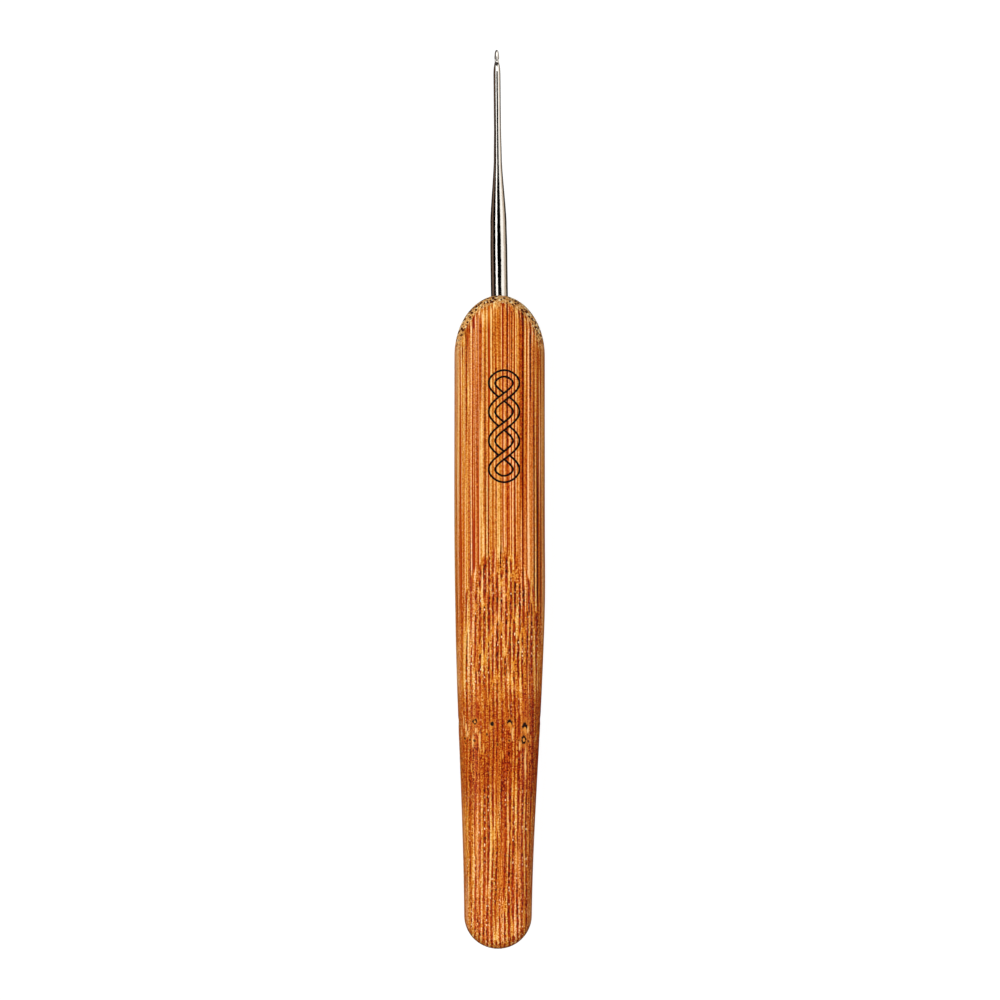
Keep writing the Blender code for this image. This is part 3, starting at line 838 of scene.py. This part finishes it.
    face_col = g.mix(g.math("MULTIPLY", dot, g.step(dpick[0], 0.44, 0.46)), face_col, (0.075, 0.005, 0.0010))
    face_col = g.mix(g.math("MULTIPLY", dot, g.step(dpick[0], 0.24, 0.22)), face_col, (1.00, 0.800, 0.440))
    col = g.mix(g.math("MULTIPLY", end, 0.96), col, face_col)

    # painted shade: a dark rim round the butt where the surface turns away from the light
    col = g.mix(g.math("MULTIPLY", butt_rim_painted_shade, 0.80), col, (0.200, 0.050, 0.0080))

    # scars of the node: an outline and, low in it, an opening of bare wood
    scar, small, bare, halo = None, None, None, None
    wob = g.noise(g.vmath("MULTIPLY", p, (3.4, 3.0, 3.4)), 1.0, 2.0, 0.6)
    wob = g.math("MULTIPLY_ADD", wob, 1.5, -0.75)
    face = g.step(g.math("ADD", z, wob), 5.2, 6.2)
    for sx, sy, rx, ry, hole, drop_ in SCARS:
        q = g.vmath("MULTIPLY", g.vmath("SUBTRACT", p, (sx, sy, 0.0)), (1.0 / rx, 1.0 / ry, 0.0))
        d = g.math("ADD", g.vmath("LENGTH", q), wob)
        mark = g.step(d, 1.15, 0.80)
        ring = g.step(d, 2.3, 1.3)
        halo = ring if halo is None else g.math("MAXIMUM", halo, ring)
        if hole > 0.0:
            q = g.vmath("MULTIPLY", g.vmath("SUBTRACT", p, (sx, sy - drop_ * ry, 0.0)), (1.0 / (rx * hole), 1.0 / (ry * hole), 0.0))
            open_wood = g.step(g.math("ADD", g.vmath("LENGTH", q), g.math("MULTIPLY", wob, -0.5)), 1.10, 0.75)
            bare = open_wood if bare is None else g.math("MAXIMUM", bare, open_wood)
            mark = g.math("MULTIPLY", mark, g.math("SUBTRACT", 1.0, open_wood))
        if rx < 0.20:
            small = mark if small is None else g.math("MAXIMUM", small, mark)
        else:
            scar = mark if scar is None else g.math("MAXIMUM", scar, mark)
    scar = g.math("MULTIPLY", scar, face)
    small = g.math("MULTIPLY", small, face)
    halo = g.math("MULTIPLY", halo, face)
    col = g.mix(g.math("MULTIPLY", halo, 0.45), col, (0.72, 0.220, 0.016))
    col = g.mix(g.math("MULTIPLY", g.math("MULTIPLY", bare, face), 0.90), col, (0.74, 0.270, 0.036))
    streak = None
    for sx, sy, ry in STREAKS:
        q = g.vmath("MULTIPLY", g.vmath("SUBTRACT", g.xyz(g.math("MULTIPLY_ADD", ragged, 0.12, xs), y, 0.0), (sx, sy, 0.0)), (1.0 / 0.13, 1.0 / ry, 0.0))
        d = g.step(g.vmath("LENGTH", q), 1.25, 0.65)
        streak = d if streak is None else g.math("MAXIMUM", streak, d)
    col = g.mix(g.math("MULTIPLY", g.math("MULTIPLY", streak, face), 0.85), col, (0.92, 0.520, 0.170))
    col = g.mix(g.math("MULTIPLY", small, 0.90), col, (0.085, 0.010, 0.0020))
    col = g.mix(scar, col, (0.010, 0.003, 0.0015))

    rough = g.math("MULTIPLY_ADD", needle, 0.10, 0.30)
    rough = g.math("ADD", rough, g.math("MULTIPLY", scar, 0.25))
    rough = g.math("ADD", rough, g.math("MULTIPLY", end, 0.12))
    height = g.math("MULTIPLY_ADD", needle, -0.55, mid)
    height = g.math("ADD", height, g.math("MULTIPLY", darkest, -0.45))
    height = g.math("ADD", height, g.math("MULTIPLY", dark_pore, -1.2))
    height = g.math("ADD", height, g.math("MULTIPLY", grain, 0.35))
    height = g.math("ADD", height, g.math("MULTIPLY", g.math("MULTIPLY", dot, end), -0.8))
    normal = g.bump(height, 0.000012, 0.6)
    g.shader(col, rough, normal, Metallic=0.0, IOR=1.46, Specular_IOR_Level=0.09, Coat_Weight=0.02,
             Coat_Roughness=0.28, Coat_IOR=1.45)
    return g.mat


def steel():
    g = Graph("plated_steel_polished")
    p = g.place()
    x, y, z = g.sep(p)
    draw = g.noise(g.vmath("MULTIPLY", p, (14.0, 0.35, 14.0)), 1.0, 3.0, 0.6)
    cloud = g.noise(g.vmath("MULTIPLY", p, (1.3, 0.5, 1.3)), 1.0, 3.0, 0.55)
    pit = g.voronoi(g.vmath("MULTIPLY", p, (3.5, 1.6, 3.5)), 1.0, 1.0, "F1", "3D")
    speck = g.step(pit.outputs["Distance"], 0.10, 0.05)
    rough = g.math("ADD", g.math("MULTIPLY_ADD", cloud, 0.08, 0.025), g.math("MULTIPLY", draw, 0.04))
    rough = g.math("ADD", rough, g.math("MULTIPLY", speck, 0.2))
    # the yarn polishes the throat and dulls the plating just above the handle
    dull = g.math("MULTIPLY", g.step(y, 34.0, 30.0), 0.06)
    rough = g.math("ADD", rough, dull)
    col = g.mix(cloud, (0.80, 0.78, 0.74), (0.72, 0.69, 0.65))
    col = g.mix(g.math("MULTIPLY", speck, 0.5), col, (0.30, 0.26, 0.22))
    uneven = g.noise(g.vmath("MULTIPLY", p, (2.2, 1.9, 2.2)), 1.0, 2.0, 0.6)
    height = g.math("ADD", g.math("MULTIPLY", draw, 0.5), g.math("MULTIPLY", cloud, 1.2))
    height = g.math("ADD", height, g.math("MULTIPLY", uneven, 4.5))
    normal = g.bump(height, 0.000006, 0.5)
    g.shader(col, rough, normal, Metallic=1.0)
    return g.mat


def char():
    g = Graph("burnt_line")
    p = g.place()
    n = g.noise(g.vmath("MULTIPLY", p, (9.0, 5.0, 9.0)), 1.0, 3.0, 0.6)
    fib = g.noise(g.vmath("MULTIPLY", p, (7.0, 0.5, 7.0)), 1.0, 2.0, 0.6)
    col = g.mix(g.step(n, 0.55, 0.85), (0.0025, 0.0018, 0.0016), (0.020, 0.008, 0.004))
    col = g.mix(g.math("MULTIPLY", g.step(fib, 0.60, 0.80), 0.30), col, (0.035, 0.010, 0.004))
    rough = g.math("MULTIPLY_ADD", n, 0.3, 0.60)
    normal = g.bump(n, 0.000008, 0.6)
    g.shader(col, rough, normal, Metallic=0.0, IOR=1.45, Specular_IOR_Level=0.10)
    return g.mat


def glue():
    g = Graph("cured_epoxy")
    p = g.place()
    n = g.noise(g.vmath("MULTIPLY", p, (1.5, 1.5, 1.5)), 1.0, 3.0, 0.6)
    bub = g.voronoi(g.vmath("MULTIPLY", p, (4.0, 4.0, 4.0)), 1.0, 1.0)
    col = g.mix(n, (0.60, 0.45, 0.24), (0.46, 0.30, 0.13))
    col = g.mix(g.step(bub.outputs["Distance"], 0.16, 0.08), col, (0.75, 0.66, 0.48))
    rough = g.math("MULTIPLY_ADD", n, 0.25, 0.18)
    normal = g.bump(n, 0.00002, 0.5)
    g.shader(col, rough, normal, Metallic=0.0, IOR=1.5)
    return g.mat


def dress(obj, mat):
    obj.data.materials.clear()
    obj.data.materials.append(mat)


# ------------------------------------------------------------------ build and attach
handle = build_handle()
dress(handle, bamboo())
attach(handle, BODY)
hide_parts("bamboo_handle")

hook = build_steel()
dress(hook, steel())
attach(hook, BODY)
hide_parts("steel_hook")

plait = build_ornament()
dress(plait, char())
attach(plait, BODY)

epoxy = glue()
node = frame["nodes"]["adhesive_sleeve"]
for s in node.material_slots:
    s.material = epoxy


# ------------------------------------------------------------------ studio
def plain(name, color, rough=0.9, emit=0.0):
    m = bpy.data.materials.new(name)
    m.use_nodes = True
    b = m.node_tree.nodes["Principled BSDF"]
    b.inputs["Base Color"].default_value = (*color, 1.0)
    b.inputs["Roughness"].default_value = rough
    b.inputs["Specular IOR Level"].default_value = 0.0
    if emit:
        b.inputs["Emission Color"].default_value = (1.0, 1.0, 1.0, 1.0)
        b.inputs["Emission Strength"].default_value = emit
    return m


def plane(name, size, z, mat):
    h = size / 2
    me = bpy.data.meshes.new(name)
    me.from_pydata([(-h, -h, z), (h, -h, z), (h, h, z), (-h, h, z)], [], [(0, 1, 2, 3)])
    me.materials.append(mat)
    o = bpy.data.objects.new(name, me)
    bpy.context.scene.collection.objects.link(o)
    return o


floor = plane("floor", 8.0, -0.00005, plain("pale_floor", (0.13, 0.13, 0.13), 0.9, 0.94))
floor.visible_diffuse = floor.visible_glossy = floor.visible_shadow = False
bounce = plane("floor_bounce", 8.0, -0.0003, plain("floor_bounce", (0.40, 0.38, 0.35), 0.9))
bounce.visible_camera = bounce.visible_glossy = bounce.visible_shadow = False
for side, x0, x1, tint in (("left", -4.0, -0.014, (0.175, 0.110, 0.078)), ("mid", -0.014, 0.018, (0.020, 0.012, 0.008)),
                           ("right", 0.018, 4.0, (0.50, 0.41, 0.31))):
    me = bpy.data.meshes.new("floor_mirrored_" + side)
    me.from_pydata([(x0, -4.0, -0.0004), (x1, -4.0, -0.0004), (x1, 4.0, -0.0004), (x0, 4.0, -0.0004)], [], [(0, 1, 2, 3)])
    me.materials.append(plain("floor_mirrored_" + side, (0.0, 0.0, 0.0), 0.9))
    glow = me.materials[0].node_tree.nodes["Principled BSDF"]
    glow.inputs["Emission Color"].default_value = (*tint, 1.0)
    glow.inputs["Emission Strength"].default_value = 1.0
    under = bpy.data.objects.new("floor_mirrored_" + side, me)
    bpy.context.scene.collection.objects.link(under)
    under.visible_camera = under.visible_diffuse = under.visible_shadow = False

# a pale wall all round, seen by the camera only
back = bpy.data.meshes.new("backdrop")
ring_n = 64
ring_pts = [(3.6 * math.cos(2 * math.pi * i / ring_n), 3.6 * math.sin(2 * math.pi * i / ring_n)) for i in range(ring_n)]
back.from_pydata([(x, y, -0.3) for x, y in ring_pts] + [(x, y, 4.0) for x, y in ring_pts], [],
                 [(i, (i + 1) % ring_n, ring_n + (i + 1) % ring_n, ring_n + i) for i in range(ring_n)])
back.materials.append(plain("backdrop", (0.0, 0.0, 0.0), 1.0, 0.98))
backdrop = bpy.data.objects.new("backdrop", back)
bpy.context.scene.collection.objects.link(backdrop)
backdrop.visible_diffuse = backdrop.visible_glossy = backdrop.visible_shadow = False
backdrop.visible_transmission = False


def softbox(name, zenith, dist, across, along, power, colour=(1, 1, 1), mirrored=False):
    """A rectangular light, long side along Y, `zenith` degrees from straight up towards +X.

    The strips that the steel mirrors and the lights that fall on the wood are kept apart, so that
    each can be as bright as its own surface needs.
    """
    a = math.radians(zenith)
    data = bpy.data.lights.new(name, "AREA")
    data.shape = "RECTANGLE"
    data.size, data.size_y = across, along
    data.energy = power
    data.color = colour
    o = bpy.data.objects.new(name, data)
    o.location = (dist * math.sin(a), 0.0, dist * math.cos(a))
    o.rotation_euler = (0.0, a, 0.0)
    bpy.context.scene.collection.objects.link(o)
    o.visible_camera = False
    o.visible_glossy = mirrored
    o.visible_diffuse = not mirrored
    return o


def strip(name, zenith, width, radiance, colour=(1, 1, 1), dist=0.55, along=1.5):
    """A strip of light `width` degrees wide, of the given brightness, for the steel to mirror."""
    across = 2.0 * dist * math.tan(math.radians(width / 2.0))
    return softbox(name, zenith, dist, across, along, radiance * math.pi * across * along, colour, mirrored=True)


softbox("key_left", -34.0, 0.6, 0.45, 0.9, 3.30, (1.0, 0.985, 0.965))
softbox("fill_right", 34.0, 0.6, 0.45, 0.9, 1.60, (1.0, 0.985, 0.965))
strip("strip_left", -32.4, 22.5, 1.70, (1.0, 0.99, 0.97))
strip("strip_right", 48.6, 38.0, 1.30, (1.0, 0.985, 0.95))
tip_light = strip("tip_light", 3.0, 46.0, 1.60, (1.0, 0.99, 0.97), along=0.20)   # for the hook's slanting face
tip_light.location = (0.03, 0.32, 0.45)
tip_light.rotation_euler = (-math.radians(35.0), math.radians(3.0), 0.0)
strip("warm_wall", 79.0, 24.0, 0.80, (1.0, 0.86, 0.73))
strip("far_wall", -92.0, 26.0, 0.17, (1.0, 0.68, 0.52))

world = bpy.data.worlds.new("studio")
world.use_nodes = True
bg = world.node_tree.nodes["Background"]
bg.inputs["Color"].default_value = (1.0, 0.99, 0.97, 1.0)
bg.inputs["Strength"].default_value = 0.30
bpy.context.scene.world = world
world.cycles_visibility.glossy = False

view = bpy.context.scene.view_settings
view.view_transform = "Standard"
view.look = "None"

# ------------------------------------------------------------------ camera, straight down on the front face
cam_data = bpy.data.cameras.new("camera")
cam = bpy.data.objects.new("camera", cam_data)
bpy.context.scene.collection.objects.link(cam)
bpy.context.scene.camera = cam
SPAN = 0.14791                      # what the frame covers at the height of the object's widest section
cam_data.sensor_width = 36.0
cam_data.lens = 200.0
distance = cam_data.lens / cam_data.sensor_width * SPAN
cam.location = (0.00006, -0.00006, AXIS_Z * MM + distance)
cam.rotation_euler = (0.0, 0.0, 0.0)
cam_data.clip_start, cam_data.clip_end = 0.01, 20.0
